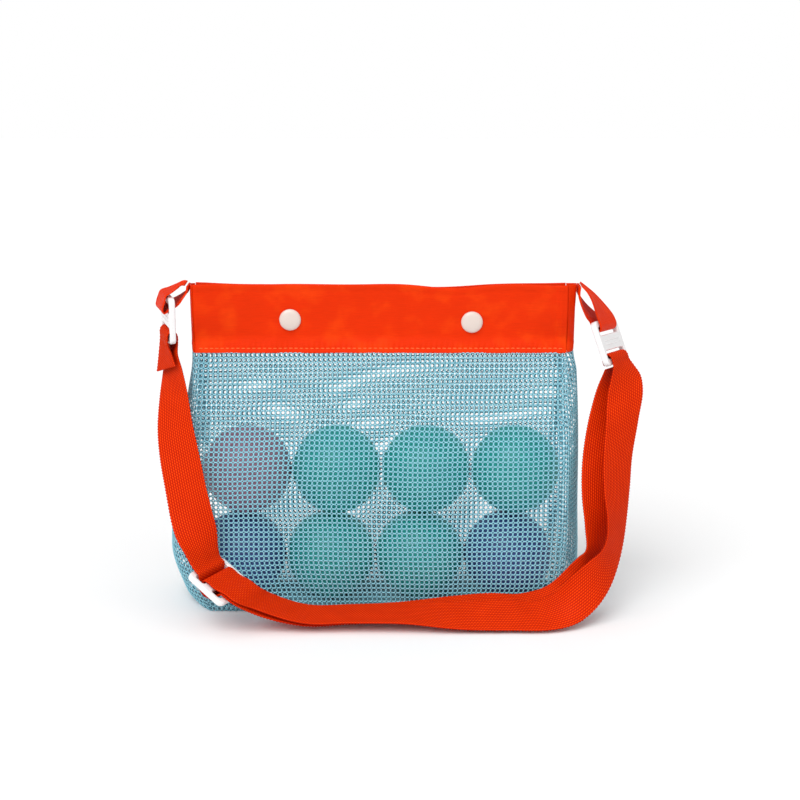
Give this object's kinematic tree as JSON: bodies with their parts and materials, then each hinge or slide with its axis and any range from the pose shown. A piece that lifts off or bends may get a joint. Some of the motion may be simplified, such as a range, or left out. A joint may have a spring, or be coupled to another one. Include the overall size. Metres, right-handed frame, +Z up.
{
  "type": "mesh ball bag",
  "caption": "Flat-bottomed net pouch of play balls with a snap-closed satin mouth band and an adjustable webbing shoulder strap on two three-bar rings.",
  "frame": {"origin": "middle of the pouch's flat base, on the surface it stands on", "axes": "+Z up, +X along the bag's width to the right seen from the front, front face towards -Y"},
  "size_m": [0.2861, 0.0974, 0.193],
  "materials": {
    "blue_net": "knitted polyester net with round holes",
    "orange_satin": "smooth plain-woven polyester with a soft sheen",
    "orange_webbing": "coarse woven polypropylene webbing",
    "white_snap": "glossy moulded snap",
    "white_ring": "glossy moulded three-bar ring",
    "ball_mauve": "hollow soft play ball",
    "ball_teal": "hollow soft play ball",
    "ball_blue": "hollow soft play ball"
  },
  "bodies": {
    "pouch": {"front_mesh_panel": "blue_net", "back_mesh_panel": "blue_net", "left_mesh_gusset": "blue_net", "right_mesh_gusset": "blue_net", "bottom_mesh_panel": "blue_net", "front_left_seam_allowance": "blue_net", "back_left_seam_allowance": "blue_net", "front_right_seam_allowance": "blue_net", "back_right_seam_allowance": "blue_net", "left_side_band": "orange_satin", "right_side_band": "orange_satin"},
    "front_mouth": {"front_band": "orange_satin", "left_snap_cap": "white_snap", "right_snap_cap": "white_snap", "left_snap_socket": "white_snap", "right_snap_socket": "white_snap"},
    "back_mouth": {"back_band": "orange_satin", "left_snap_stud": "white_snap", "right_snap_stud": "white_snap", "left_snap_back_cap": "white_snap", "right_snap_back_cap": "white_snap"},
    "carry_strap": {"left_tab": "orange_satin", "right_tab": "orange_satin", "left_ring": "white_ring", "right_ring": "white_ring", "strap_outer_run": "orange_webbing", "strap_inner_run": "orange_webbing"},
    "adjuster": {"adjuster_slider": "white_ring"},
    "under_ball_1": {"under_ball_1": "ball_blue"},
    "under_ball_2": {"under_ball_2": "ball_teal"},
    "under_ball_3": {"under_ball_3": "ball_teal"},
    "under_ball_4": {"under_ball_4": "ball_blue"},
    "top_ball_1": {"top_ball_1": "ball_mauve"},
    "top_ball_2": {"top_ball_2": "ball_teal"},
    "top_ball_3": {"top_ball_3": "ball_teal"},
    "top_ball_4": {"top_ball_4": "ball_teal"}
  },
  "joints": [
    {"name": "adjuster_slide", "type": "slide", "parent": "carry_strap", "child": "adjuster", "axis": [0.7421, -0.4212, -0.5215], "range_m": [0, 0.02], "deforming": ["strap_outer_run", "strap_inner_run"]},
    {"name": "mouth_open", "type": "hinge", "parent": "pouch", "child": "front_mouth", "pos_m": [0, -0.0074, 0.153], "axis": [1, 0, 0], "range_deg": [0, 30]},
    {"name": "mouth_open_back", "type": "hinge", "parent": "pouch", "child": "back_mouth", "pos_m": [0, 0.0074, 0.153], "axis": [-1, 0, 0], "range_deg": [0, 30]},
    {"name": "strap_lift", "type": "hinge", "parent": "pouch", "child": "carry_strap", "pos_m": [0, 0, 0.188], "axis": [-1, 0, 0], "range_deg": [0, 180]},
    {"name": "top_ball_1_lift", "type": "slide", "parent": "pouch", "child": "top_ball_1", "axis": [0, 0, 1], "range_m": [0, 0.012]},
    {"name": "top_ball_2_lift", "type": "slide", "parent": "pouch", "child": "top_ball_2", "axis": [0, 0, 1], "range_m": [0, 0.012]},
    {"name": "top_ball_3_lift", "type": "slide", "parent": "pouch", "child": "top_ball_3", "axis": [0, 0, 1], "range_m": [0, 0.012]},
    {"name": "top_ball_4_lift", "type": "slide", "parent": "pouch", "child": "top_ball_4", "axis": [0, 0, 1], "range_m": [0, 0.012]},
    {"name": "under_ball_1_roll", "type": "hinge", "parent": "pouch", "child": "under_ball_1", "pos_m": [-0.08345, 0, 0.0274], "axis": [0, 1, 0], "continuous": true},
    {"name": "under_ball_2_roll", "type": "hinge", "parent": "pouch", "child": "under_ball_2", "pos_m": [-0.03035, 0, 0.0274], "axis": [0, 1, 0], "continuous": true},
    {"name": "under_ball_3_roll", "type": "hinge", "parent": "pouch", "child": "under_ball_3", "pos_m": [0.02275, 0, 0.0274], "axis": [0, 1, 0], "continuous": true},
    {"name": "under_ball_4_roll", "type": "hinge", "parent": "pouch", "child": "under_ball_4", "pos_m": [0.07585, 0, 0.0274], "axis": [0, 1, 0], "continuous": true}
  ],
  "couplings": [
    {"joint": "mouth_open_back", "follows": "mouth_open", "ratio": 1}
  ]
}
